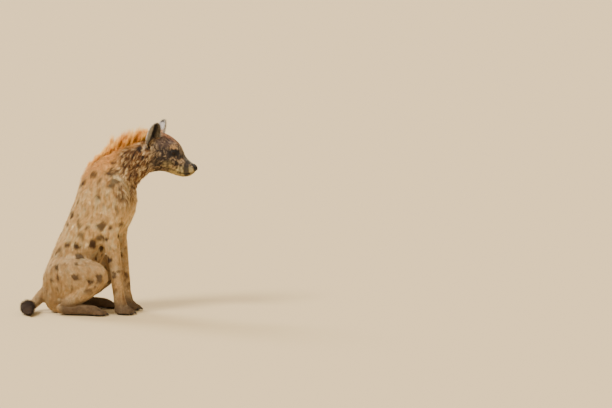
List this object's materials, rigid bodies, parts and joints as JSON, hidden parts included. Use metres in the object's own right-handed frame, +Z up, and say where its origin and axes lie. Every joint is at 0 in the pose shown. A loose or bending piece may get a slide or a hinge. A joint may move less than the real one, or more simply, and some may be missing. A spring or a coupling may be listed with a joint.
{
  "type": "spotted hyena",
  "caption": "Still life-size spotted hyena sitting upright, head level and looking ahead, with an upright mane, tall cupped ears and a bushy tail laid round on the floor.",
  "frame": {"origin": "on the floor, under the middle of the outline", "axes": "+X the way the head looks, +Y the animal's left, +Z up"},
  "size_m": [0.8802, 0.4542, 0.96],
  "materials": {
    "coat": "short coarse fur, ginger buff with dark brown spots",
    "face_fur": "very short fur, grey brown with a dark muzzle",
    "ear_fur": "very short fur, dark inside with a pale rim",
    "mane_hair": "upright coarse hair, bright ginger",
    "tail_hair": "long coarse hair, black brown",
    "foot_fur": "very short fur, dark brown",
    "nose_skin": "bare damp black skin",
    "eyeball": "wet and glossy, dark brown"
  },
  "bodies": {
    "root": {"head": "face_fur", "nose": "nose_skin", "eye_right": "eyeball", "eye_left": "eyeball", "ear_right": "ear_fur", "ear_left": "ear_fur", "neck": "coat", "mane": "mane_hair", "torso": "coat", "tail": "coat", "tail_tuft": "tail_hair", "shoulder_right": "coat", "shoulder_left": "coat", "forearm_right": "coat", "forearm_left": "coat", "forepaw_right": "foot_fur", "forepaw_left": "foot_fur", "thigh_right": "coat", "thigh_left": "coat", "shank_right": "coat", "shank_left": "coat", "hind_foot_right": "foot_fur", "hind_foot_left": "foot_fur"}
  },
  "joints": []
}
